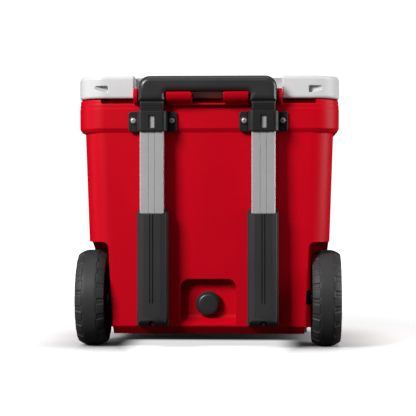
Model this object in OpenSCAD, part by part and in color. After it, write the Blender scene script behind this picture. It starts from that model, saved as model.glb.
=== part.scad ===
// Wheeled hard cooler: foam-filled moulded body and hinged lid, two-stage telescoping handle with a
// release button, two wheels on stub axles, a screw drain plug and two front latches.
// +Z is up and the handle side faces -Y. The origin is on the floor, under the centre of the outer box.

/* [Body] */
// Half the width across the rim
rim_half_w = 241.5; // [225:0.5:245]
// Rear face of the rim
rim_rear = -193; // [-200:1:-190]
// Front face of the rim
rim_front = 217; // [210:1:225]
// Radius of the rim's vertical corners
rim_r = 52; // [40:1:60]
// Underside of the rim
rim_bottom = 396.5; // [380:0.5:405]
// Top of the rim
rim_top = 456.5; // [452:0.5:457]
// How far the walls stand in from the rim at each side
side_step = 10.8; // [8:0.2:14]
// How far the walls stand in from the rim at front and rear
end_step = 5; // [3:0.5:14]
// How much each side leans in from the rim down to the base bevel
side_draft = 12; // [6:0.5:14]
// How much the front and rear walls lean in over the same height
end_draft = 8; // [4:0.5:10]
// Underside of the body
base_z = 25; // [20:1:28]
// Height and depth of the bevel round the base
base_bevel = 15; // [8:1:18]
// Thickness of the moulded skin
skin = 4.5; // [3:0.5:5]

/* [Ice cavity] */
// Half width of the cavity at its mouth
cavity_half_w = 186; // [176:1:188]
// Floor of the cavity
cavity_floor = 62; // [58:1:66]
// Thickness of the front and rear walls at the mouth
end_wall = 57; // [52:1:60]

/* [Lid] */
// Underside of the lid's edge
lid_bottom = 458.5; // [457.5:0.5:460]
// Top of the lid
lid_top = 500; // [496:0.5:501]
// Height of the hinge line
hinge_z = 467.75; // [466:0.25:469]
// Radius of the hinge knuckles
knuckle_r = 9.25; // [8:0.25:10]
// Half width of the lid's own knuckle
lid_knuckle_half = 27.6; // [20:0.2:30]
// Outer end of the body's knuckles
knuckle_end = 135.6; // [132:0.2:138]

/* [Handle] */
// Distance of each tube from the middle
tube_x = 101.5; // [98:0.5:106]
// Middle of the tubes, front to rear
tube_y = -207.5; // [-209:0.5:-207]
// Width of the outer sliding tube
tube_w = 43.6; // [40:0.2:46]
// Depth of the outer sliding tube
tube_d = 22; // [18:0.5:22]
// Wall of both tubes
tube_wall = 1.6; // [1.2:0.1:2]
// Running gap between sliding faces
slide_gap = 0.3; // [0.25:0.05:0.4]
// Top of the grip
grip_top = 497.5; // [496:0.5:499]
// Height of the grip's crossbar
grip_bar = 29; // [26:1:30]
// Half width of the whole grip
grip_half_w = 126; // [124:1:130]
// Width of each grip leg
leg_w = 49; // [46:1:52]
// Top of the fixed sleeves, at the wall
sleeve_top = 255; // [240:1:260]
// Length of the release button
button_w = 41; // [36:1:44]
// Travel of the release button
button_travel = 4; // [3:0.5:4]

/* [Wheels] */
// Wheel diameter
wheel_d = 179; // [170:1:180]
// Wheel width
wheel_w = 53; // [50:0.5:56]
// Outer face of each wheel
wheel_out = 244; // [242:0.5:250]
// Middle of the wheels, front to rear
wheel_y = -124; // [-128:1:-120]
// Lugs round each shoulder of a tyre
lugs = 19; // [15:1:24]
// Radius of each stub axle
axle_r = 6.4; // [6:0.1:7]

/* [Drain and latches] */
// Height of the drain
drain_z = 80.2; // [74:0.2:84]
// Radius of the drain plug's head
plug_r = 23.5; // [20:0.5:25]
// Distance of each latch from the middle
latch_x = 120; // [100:1:140]
// Width of each latch
latch_w = 46; // [40:1:50]

/* [Hidden] */
$fn = 64;

past = 1;                     // how far a cut runs past the face that it opens
fit = 0.05;                   // radial clearance of a running fit

// Body
wall_top_w = rim_half_w - side_step;
wall_low_w = wall_top_w - side_draft;
wall_rear = rim_rear + end_step;
wall_front = rim_front - end_step;
bevel_z = base_z + base_bevel;
wall_r = 45;
cavity_rear = rim_rear + end_wall;
cavity_front = rim_front - end_wall;
cavity_r = 40;
cavity_lean = 9;
cavity_low_w = cavity_half_w - 2.5 * cavity_lean;
foot_x = 165;
foot_y = 158;
foot_r = 27;
foot_h = 9;
grip_hollow_x = wall_low_w - 11;
grip_hollow_y = (rim_rear + rim_front) / 2;
grip_hollow_w = 124;
grip_hollow_h = 34;
function wall_y(z) = wall_rear + end_draft * (rim_bottom - z) / (rim_bottom - bevel_z);

// Hinge
hinge_y = rim_rear + knuckle_r;
rod_r = 4;
recess_half_w = 197;
recess_z = 449;
notch_gap = 2.5;
scoop_r = 50;
scoop_half_w = knuckle_end + 1.5;
scoop_angle = 12;
plug_bottom = 440;

// Wheels
wheel_r = wheel_d / 2;
wheel_in = wheel_out - wheel_w;
well_r = wheel_r + 16;
well_in = 180;
hub_r = 62;
bush_r = 9;
bush_in = wheel_in + 1;
bush_out = wheel_out - 16;
axle_end = wheel_out - 9;
axle_start = well_in - 32;

// Handle
bracket_w = 89;
bracket_h = 37.3;
saddle_w = 55.7;
saddle_front = tube_y - tube_d / 2 - slide_gap - 4.7;
screw_pitch = 70;
screw_rise = 20.5;
sleeve_w = 59;
sleeve_front = tube_y - tube_d / 2 - slide_gap - 4.2;
sleeve_bottom = 42;
tube_bottom = 54;
collar_top = grip_top - 51.2;
collar_bottom = rim_bottom + bracket_h + 0.2;
leg_bottom = grip_top - 51;
grip_front = tube_y - 18.5;
grip_rear = tube_y + 11;
cheek_r = 19;
cheek_end = grip_half_w - leg_w - 2;
cheek_front = grip_front + 3;
fin_front = cheek_front + 8;
inner_w = tube_w - 2 * (tube_wall + slide_gap);
inner_d = tube_d - 2 * (tube_wall + slide_gap);
inner_bottom = tube_bottom + 3;
inner_top = grip_top - 26;
block_h = 22;
pin_z = inner_bottom + 9;
pin_r = 3.5;
lift = 300;
channel_z = grip_top - 26.5;
yoke_z = grip_top - 19;
yoke_h = 4;

// Drain
seat_y = rim_rear + 33;
recess_top = 128;
scoop_half = 51;
stem_r = 9.5;
collar_r = 13;

// Latches
latch_pin_y = rim_front - 4;
latch_pin_z = lid_bottom + 14;
latch_r = 5;
keeper_z = latch_pin_z - 38;
keeper_w = 50;
keeper_h = 20;
keeper_bottom = keeper_z - 10.5;

// Draws its children as they are and again on the other side of the cooler.
module both_sides() {
    children();
    mirror([1, 0, 0]) children();
}

module left_side() mirror([1, 0, 0]) children();

// A rectangle with round corners, drawn with true arcs.
module rounded_rect(x0, x1, y0, y1, r) {
    translate([x0 + r, y0]) square([x1 - x0 - 2 * r, y1 - y0]);
    translate([x0, y0 + r]) square([x1 - x0, y1 - y0 - 2 * r]);
    for (x = [x0 + r, x1 - r], y = [y0 + r, y1 - r]) translate([x, y]) circle(r);
}

module rounded_block(half_w, y0, y1, r, z0, z1) {
    translate([0, 0, z0]) linear_extrude(z1 - z0) rounded_rect(-half_w, half_w, y0, y1, r);
}

// Extrudes an outline drawn in X and Z from one Y towards the rear.
module along_rear(y, length) translate([0, y, 0]) rotate([90, 0, 0]) linear_extrude(length) children();

// Extrudes an outline drawn in Y and Z between two X positions.
module along_x(x0, x1) translate([x0, 0, 0]) rotate([90, 0, 90]) linear_extrude(x1 - x0) children();

module rod_x(x0, x1, y, z, r) translate([x0, y, z]) rotate([0, 90, 0]) cylinder(h = x1 - x0, r = r);

module rod_rear(x, y, z, length, r) translate([x, y, z]) rotate([90, 0, 0]) cylinder(h = length, r = r);

// ---- Body ----

// The drafted walls and bevelled base, moved in by inset on every side.
module wall_form(inset) {
    hull() {
        rounded_block(wall_top_w - inset, wall_rear + inset, wall_front - inset, wall_r - inset,
            rim_bottom, rim_top - inset);
        rounded_block(wall_low_w - inset, wall_rear + end_draft + inset, wall_front - end_draft - inset,
            wall_r - inset, bevel_z, bevel_z + 0.2);
        rounded_block(wall_low_w - base_bevel - inset, wall_rear + end_draft + base_bevel + inset,
            wall_front - end_draft - base_bevel - inset, wall_r - base_bevel - inset,
            base_z + inset, base_z + inset + 0.2);
    }
}

// The ice cavity with its steps over the wheel wells, moved out by outset on every side.
module cavity_form(outset, top) {
    difference() {
        hull() {
            rounded_block(cavity_half_w + outset, cavity_rear - outset, cavity_front + outset,
                cavity_r + outset, top - 0.2, top);
            rounded_block(cavity_low_w + outset, cavity_rear + cavity_lean - outset,
                cavity_front - cavity_lean + outset, cavity_r + outset, cavity_floor - outset,
                cavity_floor - outset + 0.2);
        }
        both_sides() translate([well_in - 38 + outset, -300, 0])
            cube([100, 300 + wheel_y + well_r + 24 - outset, wheel_r + well_r + 24 - outset]);
    }
}

// One wheel well: an arch that is open to the rear, the outside and the floor.
module well_form(outset) {
    along_x(well_in - outset, 300) {
        translate([wheel_y, wheel_r]) circle(well_r + outset);
        translate([-300, -50]) square([300 + wheel_y, 50 + wheel_r + well_r + outset]);
        translate([-300, -50]) square([300 + wheel_y + well_r + outset, 50 + wheel_r]);
    }
}

// The hidden space that the foam fills, with a gap left all round it.
module foam_form(gap) {
    difference() {
        union() {
            wall_form(skin + gap);
            rounded_block(rim_half_w - skin - gap, rim_rear + skin + gap, rim_front - skin - gap,
                rim_r - skin, rim_bottom + skin + gap, rim_top - skin - gap);
        }
        cavity_form(skin + gap, rim_top + past);
        both_sides() well_form(skin + gap);
        both_sides() rod_x(axle_start - 8, well_in, wheel_y, wheel_r, 16 + gap);
        translate([-scoop_half - skin - gap, -300, 0])
            cube([2 * (scoop_half + skin + gap), 300 + seat_y + skin + gap, recess_top + skin + gap]);
        rod_rear(0, 0, drain_z, 300, 20 + gap);
        translate([-recess_half_w - skin - gap, -300, recess_z - skin - gap])
            cube([2 * (recess_half_w + skin + gap), 300 + hinge_y + 16 + gap, 50]);
        both_sides() rod_rear(tube_x, 0, sleeve_bottom + 5, 300, 9 + gap);
        both_sides() for (side = [-1, 1])
            rod_rear(tube_x + side * screw_pitch / 2, rim_rear + 28, rim_bottom + screw_rise, 60, 9 + gap);
        both_sides() for (side = [-1, 1])
            rod_rear(latch_x + side * 18, 300, keeper_z, 300 - rim_front + 28, 9 + gap);
        both_sides() translate([latch_x - 27 - gap, rim_front - 9 - gap, keeper_bottom - 6 - gap])
            cube([54 + 2 * gap, 20, 32 + 2 * gap]);
        both_sides() translate([foot_x, foot_y, 0]) cylinder(h = 42 + gap, r = 9 + gap);
        both_sides() translate([grip_hollow_x - skin - gap, grip_hollow_y - grip_hollow_w / 2 - skin - gap,
            rim_bottom - grip_hollow_h - skin - gap])
            cube([60, grip_hollow_w + 2 * (skin + gap), grip_hollow_h + 2 * (skin + gap)]);
    }
}

// The drain's scoop: flat at the back, running out to the wall near the base.
module drain_scoop() {
    intersection() {
        along_x(-scoop_half, scoop_half)
            polygon([[-300, 42], [wall_y(42), 42], [seat_y, 56], [seat_y, recess_top], [-300, recess_top]]);
        along_rear(0, 300) {
            rounded_rect(-scoop_half, scoop_half, 0, recess_top, 17);
            translate([-scoop_half, 0]) square([2 * scoop_half, 60]);
        }
    }
}

// The body's two hinge knuckles in the recess of the rim, and the rounded rests round the grip's legs.
module body_knuckles() {
    cheek_back = cheek_front + cheek_r;
    depth = rim_rear + 4 - cheek_back;
    translate([-cheek_end, cheek_back, recess_z - 3]) cube([2 * cheek_end, depth, 3]);
    both_sides() along_x(lid_knuckle_half + 1.2, cheek_end) {
        translate([cheek_back, recess_z]) square([depth, cheek_r]);
        intersection() {
            translate([cheek_back, recess_z + cheek_r]) circle(cheek_r);
            translate([cheek_front, recess_z]) square([cheek_r, cheek_r]);
        }
    }
    both_sides() along_x(grip_half_w + 1.5, knuckle_end) polygon([
        [rim_rear + 4, recess_z - 3], [fin_front + 8, recess_z], [fin_front + 1, recess_z + 7],
        [fin_front, recess_z + 17], [fin_front + 3, recess_z + 24], [fin_front + 10, recess_z + 26],
        [rim_rear + 4, recess_z + 26]]);
    both_sides() along_x(lid_knuckle_half + 1.2, knuckle_end) {
        translate([hinge_y, hinge_z]) circle(knuckle_r);
        translate([hinge_y - knuckle_r, recess_z - 3]) square([2 * knuckle_r, hinge_z - recess_z + 3]);
    }
}

module body_shell() {
    color("crimson") difference() {
        union() {
            wall_form(0);
            rounded_block(rim_half_w, rim_rear, rim_front, rim_r, rim_bottom + 4, rim_top);
            rounded_block(rim_half_w - 2, rim_rear + 2, rim_front - 2, rim_r - 2, rim_bottom, rim_bottom + 4);
            both_sides() translate([foot_x, foot_y, foot_h]) cylinder(h = 20, r = foot_r);
        }
        foam_form(0);
        cavity_form(0, rim_top + past);
        both_sides() well_form(0);
        drain_scoop();
        rod_rear(0, 0, drain_z, 300, collar_r);
        translate([-recess_half_w, -300, recess_z])
            cube([2 * recess_half_w, 300 + hinge_y + knuckle_r + notch_gap, 50]);
        both_sides() rod_x(axle_start, 300, wheel_y, wheel_r, axle_r);
        both_sides() rod_rear(tube_x, wall_y(sleeve_bottom) + 16, sleeve_bottom + 5, 60, 2.5);
        both_sides() for (side = [-1, 1])
            rod_rear(tube_x + side * screw_pitch / 2, rim_rear + 22, rim_bottom + screw_rise, 60, 2.5);
        both_sides() translate([latch_x - keeper_w / 2, rim_front - 4, keeper_bottom])
            cube([keeper_w, 20, keeper_h]);
        both_sides() for (side = [-1, 1])
            rod_rear(latch_x + side * 18, rim_front + 5, keeper_z, 24, 2);
        both_sides() translate([foot_x, foot_y, 0]) cylinder(h = 30, r = 2.5);
        both_sides() side_grip();
    }
    color("crimson") difference() {
        body_knuckles();
        rod_x(-200, 200, hinge_y, hinge_z, rod_r + fit);
    }
}

// The finger hollow under the rim at each side.
module side_grip() {
    translate([grip_hollow_x, grip_hollow_y - grip_hollow_w / 2, rim_bottom - grip_hollow_h])
        cube([60, grip_hollow_w, grip_hollow_h]);
}

module body_foam() color("khaki") foam_form(0.3);

module hinge_rod() color("silver") rod_x(-knuckle_end + 1, knuckle_end - 1, hinge_y, hinge_z, rod_r);

module front_foot() color("dimgray") difference() {
    translate([foot_x, foot_y, 0]) cylinder(h = foot_h, r = foot_r - 2);
    translate([foot_x, foot_y, -past]) cylinder(h = foot_h + 2 * past, r = 2.7);
    translate([foot_x, foot_y, -past]) cylinder(h = 5 + past, r = 6);
}

module foot_screws() color("silver") both_sides() translate([foot_x, foot_y, 0]) {
    translate([0, 0, 2]) cylinder(h = 3, r = 5);
    translate([0, 0, 5]) cylinder(h = 22, r = 2.45);
}

// ---- Drain ----

module drain_collar() color("dimgray") difference() {
    union() {
        rod_rear(0, cavity_rear + 12, drain_z, cavity_rear + 12 - seat_y, collar_r);
        rod_rear(0, cavity_rear + 13, drain_z, 3, collar_r + 1);
    }
    rod_rear(0, cavity_rear + 30, drain_z, 80, stem_r + fit);
}

module drain_seal() color("black") difference() {
    rod_rear(0, seat_y, drain_z, 2.5, 16);
    rod_rear(0, seat_y + past, drain_z, 6, stem_r + fit);
}

module drain_plug() color("dimgray") {
    translate([0, seat_y - 2.5, drain_z]) rotate([90, 0, 0]) rotate_extrude() polygon([
        [0, 0], [plug_r, 0], [plug_r, 6.5], [plug_r - 5.5, 13], [0, 14.5]]);
    rod_rear(0, seat_y + 18, drain_z, 20.5, stem_r);
}

// ---- Handle ----

module tube_section(w, d, r) translate([tube_x, tube_y]) rounded_rect(-w / 2, w / 2, -d / 2, d / 2, r);

module handle_bracket() color("dimgray") difference() {
    union() {
        along_rear(rim_rear, 5) rounded_rect(tube_x - bracket_w / 2, tube_x + bracket_w / 2, rim_bottom,
            rim_bottom + bracket_h, 5);
        along_rear(rim_rear, rim_rear - saddle_front) rounded_rect(tube_x - saddle_w / 2,
            tube_x + saddle_w / 2, rim_bottom, rim_bottom + bracket_h, 3);
    }
    translate([0, 0, rim_bottom - past]) linear_extrude(bracket_h + 2 * past)
        tube_section(tube_w + 2 * slide_gap, tube_d + 2 * slide_gap, 4);
    along_rear(tube_y, 40)
        rounded_rect(tube_x - 5.85, tube_x + 5.85, rim_bottom + 6, rim_bottom + 30, 1.5);
    for (side = [-1, 1])
        rod_rear(tube_x + side * screw_pitch / 2, rim_rear + past, rim_bottom + screw_rise, 9, 2.7);
}

module bracket_screws() color("silver") both_sides() for (side = [-1, 1]) {
    rod_rear(tube_x + side * screw_pitch / 2, rim_rear - 5, rim_bottom + screw_rise, 2.6, 5);
    rod_rear(tube_x + side * screw_pitch / 2, rim_rear + 18, rim_bottom + screw_rise, 23, 2.45);
}

// The sleeve's outline from the side: its back follows the wall and its foot curves in.
module sleeve_profile() {
    foot_r = 30;
    polygon(concat(
        [[wall_y(sleeve_bottom), sleeve_bottom]],
        [for (a = [0 : 10 : 90])
            [sleeve_front + foot_r - foot_r * sin(a), sleeve_bottom + foot_r - foot_r * cos(a)]],
        [[sleeve_front, sleeve_top - 8], [wall_y(sleeve_top), sleeve_top]]));
}

module handle_sleeve() color("dimgray") difference() {
    intersection() {
        along_x(tube_x - 40, tube_x + 40) sleeve_profile();
        translate([tube_x, 0, 0]) linear_extrude(300) polygon([
            [-sleeve_w / 2, 0], [-sleeve_w / 2, sleeve_front + 15], [-sleeve_w / 2 + 4, sleeve_front + 5],
            [-sleeve_w / 2 + 8, sleeve_front], [sleeve_w / 2 - 8, sleeve_front],
            [sleeve_w / 2 - 4, sleeve_front + 5], [sleeve_w / 2, sleeve_front + 15], [sleeve_w / 2, 0]]);
    }
    translate([0, 0, tube_bottom - 2]) linear_extrude(300)
        tube_section(tube_w + 2 * slide_gap, tube_d + 2 * slide_gap, 4);
    rod_rear(tube_x, 0, sleeve_bottom + 5, 300, 2.7);
    rod_rear(tube_x, wall_y(sleeve_bottom) - 6, sleeve_bottom + 5, 300, 6);
}

module sleeve_screws() color("silver") both_sides() {
    rod_rear(tube_x, wall_y(sleeve_bottom) - 6, sleeve_bottom + 5, 3, 5);
    rod_rear(tube_x, wall_y(sleeve_bottom) + 14, sleeve_bottom + 5, 20, 2.45);
}

module mid_tube() color("silver") difference() {
    translate([0, 0, tube_bottom]) linear_extrude(collar_bottom - tube_bottom) difference() {
        tube_section(tube_w, tube_d, 3.5);
        tube_section(tube_w - 2 * tube_wall, tube_d - 2 * tube_wall, 2);
        translate([tube_x - 5, tube_y - tube_d / 2 - past]) square([10, past + 0.6]);
    }
    for (z = [pin_z, pin_z + lift]) rod_x(tube_x, tube_x + 40, tube_y, z, pin_r + 0.3);
}

module mid_collar() color("dimgray") translate([0, 0, collar_bottom])
    linear_extrude(collar_top - collar_bottom) difference() {
        tube_section(tube_w + 0.4, tube_d + 0.4, 4);
        tube_section(inner_w + 2 * slide_gap, inner_d + 2 * slide_gap, 2);
    }

module inner_tube() color("silver") difference() {
    translate([0, 0, inner_bottom]) linear_extrude(inner_top - inner_bottom) difference() {
        tube_section(inner_w, inner_d, 2);
        tube_section(inner_w - 2 * tube_wall, inner_d - 2 * tube_wall, 1);
    }
    rod_x(tube_x, tube_x + 40, tube_y, pin_z, pin_r + 0.1);
}

module lock_block() color("dimgray") difference() {
    translate([0, 0, inner_bottom]) linear_extrude(block_h)
        tube_section(inner_w - 2 * tube_wall, inner_d - 2 * tube_wall, 1);
    rod_x(tube_x + 3, tube_x + 40, tube_y, pin_z, pin_r + 0.1);
    translate([tube_x, tube_y, pin_z + pin_r + 1]) cylinder(h = 40, r = 3);
}

module lock_pin() color("silver")
    rod_x(tube_x + 7, tube_x + inner_w / 2, tube_y, pin_z, pin_r);

// The U-shaped grip seen from the rear.
module grip_outline() difference() {
    union() {
        rounded_rect(-grip_half_w, grip_half_w, grip_top - 46, grip_top, 21.5);
        for (x = [-grip_half_w, grip_half_w - leg_w]) translate([x, leg_bottom])
            square([leg_w, grip_bar]);
    }
    translate([-grip_half_w + leg_w, leg_bottom - past])
        square([2 * (grip_half_w - leg_w), grip_top - grip_bar - leg_bottom + past]);
}

module handle_grip() color("dimgray") difference() {
    along_rear(grip_rear, grip_rear - grip_front) grip_outline();
    both_sides() translate([0, 0, leg_bottom - past]) linear_extrude(inner_top - leg_bottom + past)
        tube_section(inner_w + 0.04, inner_d + 0.04, 2);
    translate([-tube_x - 6, tube_y - 6, channel_z])
        cube([2 * tube_x + 12, 12, yoke_z + yoke_h + 1 - channel_z]);
    translate([-button_w / 2 - 0.3, tube_y - 9.3, yoke_z + yoke_h - button_travel - 0.5])
        cube([button_w + 0.6, 18.6, 40]);
}

module release_button() color("black") translate([0, tube_y, yoke_z + yoke_h])
    linear_extrude(grip_top - yoke_z - yoke_h) rounded_rect(-button_w / 2, button_w / 2, -9, 9, 3);

module button_yoke() color("dimgray") translate([-tube_x - 5, tube_y - 5, yoke_z])
    cube([2 * tube_x + 10, 10, yoke_h]);

module push_rod() color("silver") translate([tube_x, tube_y, pin_z + pin_r + 6])
    cylinder(h = yoke_z - pin_z - pin_r - 6, r = 2.5);

module button_spring() color("silver") translate([0, tube_y, channel_z]) difference() {
    cylinder(h = yoke_z - channel_z, r = 4.5);
    translate([0, 0, -past]) cylinder(h = 30, r = 3.5);
}

// ---- Lid ----

// Everything that the grip needs free as the lid swings up past it.
module lid_scoop(grow) intersection() {
    along_x(-scoop_half_w - grow, scoop_half_w + grow) translate([hinge_y, hinge_z])
        circle(scoop_r + grow);
    along_x(-200, 200) translate([hinge_y, hinge_z]) rotate(scoop_angle) translate([-100, -grow])
        square([200, 100]);
}

module lid_shell() color("white") difference() {
    union() {
        difference() {
            rounded_block(rim_half_w, rim_rear, rim_front, rim_r, lid_bottom, lid_top);
            lid_scoop(0);
            translate([-scoop_half_w, -300, lid_bottom - past])
                cube([2 * scoop_half_w, 300 + hinge_y + 3, 60]);
            both_sides() translate([lid_knuckle_half, -300, lid_bottom - past])
                cube([knuckle_end + 1.5 - lid_knuckle_half, 300 + hinge_y + knuckle_r + notch_gap,
                    hinge_z + knuckle_r + notch_gap - lid_bottom + past]);
        }
        rounded_block(cavity_half_w - 4, cavity_rear + 4, cavity_front - 4, cavity_r - 4, plug_bottom,
            lid_bottom);
        along_x(-lid_knuckle_half, lid_knuckle_half) {
            translate([hinge_y, hinge_z]) circle(knuckle_r);
            translate([hinge_y, hinge_z - knuckle_r]) square([14, knuckle_r + 1]);
        }
    }
    rounded_block(rim_half_w - skin, hinge_y + scoop_r + 6, rim_front - 18, 40, lid_bottom + skin,
        lid_top - skin);
    rounded_block(cavity_half_w - 4 - skin, cavity_rear + 4 + skin, cavity_front - 4 - skin, 30,
        plug_bottom + skin, lid_bottom + skin + 1);
    both_sides() along_x(knuckle_end + 1, 300) polygon([
        [rim_rear - past, lid_bottom - past], [rim_rear + 5 + past, lid_bottom - past],
        [rim_rear - past, lid_bottom + 5 + past]]);
    rod_x(-200, 200, hinge_y, hinge_z, rod_r + fit);
    both_sides() translate([latch_x - latch_w / 2 - 0.6, latch_pin_y - 7.5, lid_bottom - past])
        cube([latch_w + 1.2, 40, 29]);
    both_sides() rod_x(latch_x - 31, latch_x + 31, latch_pin_y, latch_pin_z, 2.5 + fit);
    gasket_form(0.1, lid_bottom - past);
    both_sides() along_rear(rim_rear + 9, 20)
        polygon([[184, lid_top - 31.5], [184, lid_top - 19.5], [219, lid_top - 20.5], [222, lid_top - 22.5]]);
}

module lid_foam() color("khaki") {
    rounded_block(rim_half_w - skin - 0.3, hinge_y + scoop_r + 6.3, rim_front - 18.3, 39.7,
        lid_bottom + skin + 0.3, lid_top - skin - 0.3);
    rounded_block(cavity_half_w - 4.3 - skin, cavity_rear + 4.3 + skin, cavity_front - 4.3 - skin, 29.7,
        plug_bottom + skin + 0.3, lid_bottom + skin + 0.3);
}

// The seal that runs round the cavity's mouth, in a groove of the lid.
module gasket_form(gap, z0) difference() {
    rounded_block(cavity_half_w + 12 + gap, cavity_rear - 12 - gap, cavity_front + 12 + gap,
        cavity_r + 12, z0, lid_bottom + 2.5 + gap);
    rounded_block(cavity_half_w + 5 - gap, cavity_rear - 5 + gap, cavity_front + 5 - gap,
        cavity_r + 5, z0 - past, lid_bottom + 10);
}

module lid_gasket() color("black") gasket_form(0, rim_top + 0.4);

module latch_pins() color("silver") both_sides()
    rod_x(latch_x - 30, latch_x + 30, latch_pin_y, latch_pin_z, 2.5);

// A latch from the side: a barrel on the pin, an arm over the rim's edge, a strap and a pull tab.
module latch() color("dimgray") difference() {
    union() {
        rod_x(latch_x - latch_w / 2, latch_x + latch_w / 2, latch_pin_y, latch_pin_z, latch_r);
        along_x(latch_x - latch_w / 2, latch_x + latch_w / 2)
            polygon([[latch_pin_y, latch_pin_z + 4.5], [rim_front + 5.5, latch_pin_z + 4.5],
            [rim_front + 7.5, latch_pin_z + 2.5], [rim_front + 7.5, 424], [rim_front + 9, 412],
            [rim_front + 5, 410], [rim_front + 2.2, 422], [rim_front + 2.2, latch_pin_z - 4.5],
            [latch_pin_y, latch_pin_z - 4.5]]);
    }
    rod_x(0, 200, latch_pin_y, latch_pin_z, 2.5 + fit);
}

module latch_keeper() color("dimgray") difference() {
    translate([latch_x - keeper_w / 2, rim_front - 4, keeper_bottom]) cube([keeper_w, 5.8, keeper_h]);
    for (side = [-1, 1])
        rod_rear(latch_x + side * 18, rim_front + 5, keeper_z, 20, 2.2);
}

module keeper_screws() color("silver") both_sides() for (side = [-1, 1])
    rod_rear(latch_x + side * 18, rim_front + 1.6, keeper_z, 18, 1.9);

// ---- Wheels ----

module ring_x(x0, x1, outer, inner) difference() {
    rod_x(x0, x1, wheel_y, wheel_r, outer);
    rod_x(x0 - past, x1 + past, wheel_y, wheel_r, inner);
}

// One shoulder of the tyre, with lugs standing from a smaller circle.
module tyre_shoulder(x0, x1) {
    pitch = 360 / lugs;
    low = wheel_r - 5;
    difference() {
        along_x(x0, x1) translate([wheel_y, wheel_r]) {
            circle(low);
            for (i = [0 : lugs - 1]) rotate(i * pitch) polygon([
                [0, 0], for (t = [-0.31, -0.15, 0, 0.15, 0.31])
                    [(wheel_r - 0.2) * cos(t * pitch), (wheel_r - 0.2) * sin(t * pitch)]]);
        }
        rod_x(x0 - past, x1 + past, wheel_y, wheel_r, hub_r);
    }
}

module tyre() color("dimgray") {
    tyre_shoulder(wheel_in, wheel_in + 13);
    ring_x(wheel_in + 13, wheel_out - 13, wheel_r, hub_r);
    tyre_shoulder(wheel_out - 13, wheel_out);
}

module wheel_hub() color("gray") {
    ring_x(wheel_in + 4, wheel_out - 4, hub_r, hub_r - 5);
    difference() {
        ring_x(wheel_out - 24, wheel_out - 20, hub_r - 4, bush_r);
        for (i = [0 : 5]) translate([0, wheel_y, wheel_r]) rotate([i * 60 + 30, 0, 0])
            translate([wheel_out - 30, 44, 0]) rotate([0, 90, 0]) cylinder(h = 20, r = 8);
    }
    ring_x(bush_in, bush_out, bush_r + 5, bush_r);
    for (i = [0 : 5]) translate([0, wheel_y, wheel_r]) rotate([i * 60, 0, 0])
        translate([wheel_in + 8, bush_r + 3, -2])
            cube([wheel_w - 32.5, hub_r - bush_r - 6, 4]);
}

module wheel_bush() color("white") ring_x(bush_in, bush_out, bush_r, axle_r + fit);

module hub_cap() color("dimgray") difference() {
    rod_x(wheel_out - 20, wheel_out - 2, wheel_y, wheel_r, 30);
    rod_x(wheel_out - 21, wheel_out - 6, wheel_y, wheel_r, 27);
}

module axle_boss() color("black") ring_x(well_in, wheel_in - 1.5, 15.5, axle_r);

module axle() color("silver") {
    rod_x(axle_start + 1, axle_end, wheel_y, wheel_r, axle_r);
}

module axle_washers() color("silver") both_sides() {
    ring_x(wheel_in - 1.5, wheel_in - 0.3, 13, axle_r);
    ring_x(bush_out + 0.3, bush_out + 1.8, 13, axle_r);
}

module axle_clips() color("silver") both_sides() ring_x(bush_out + 1.8, bush_out + 3.2, 10, axle_r);

body_shell();
body_foam();
hinge_rod();
left_side() front_foot();  // front_foot_left
front_foot();  // front_foot_right
foot_screws();
drain_collar();
drain_seal();
drain_plug();
left_side() handle_bracket();  // handle_bracket_left
handle_bracket();  // handle_bracket_right
bracket_screws();
left_side() handle_sleeve();  // handle_sleeve_left
handle_sleeve();  // handle_sleeve_right
sleeve_screws();
left_side() axle_boss();  // axle_boss_left
axle_boss();  // axle_boss_right
left_side() axle();  // axle_left
axle();  // axle_right
axle_washers();
axle_clips();
left_side() latch_keeper();  // latch_keeper_left
latch_keeper();  // latch_keeper_right
keeper_screws();
lid_shell();
lid_foam();
lid_gasket();
latch_pins();
left_side() latch();  // latch_left
latch();  // latch_right
left_side() mid_tube();  // mid_tube_left
mid_tube();  // mid_tube_right
left_side() mid_collar();  // mid_collar_left
mid_collar();  // mid_collar_right
left_side() inner_tube();  // inner_tube_left
inner_tube();  // inner_tube_right
left_side() lock_block();  // lock_block_left
lock_block();  // lock_block_right
handle_grip();
release_button();
button_yoke();
left_side() push_rod();  // push_rod_left
push_rod();  // push_rod_right
button_spring();
left_side() lock_pin();  // lock_pin_left
lock_pin();  // lock_pin_right
left_side() tyre();  // tyre_left
tyre();  // tyre_right
left_side() wheel_hub();  // wheel_hub_left
wheel_hub();  // wheel_hub_right
left_side() wheel_bush();  // wheel_bush_left
wheel_bush();  // wheel_bush_right
left_side() hub_cap();  // hub_cap_left
hub_cap();  // hub_cap_right
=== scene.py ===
import math
import bmesh
import bpy
from mathutils import Matrix, Vector

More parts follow.
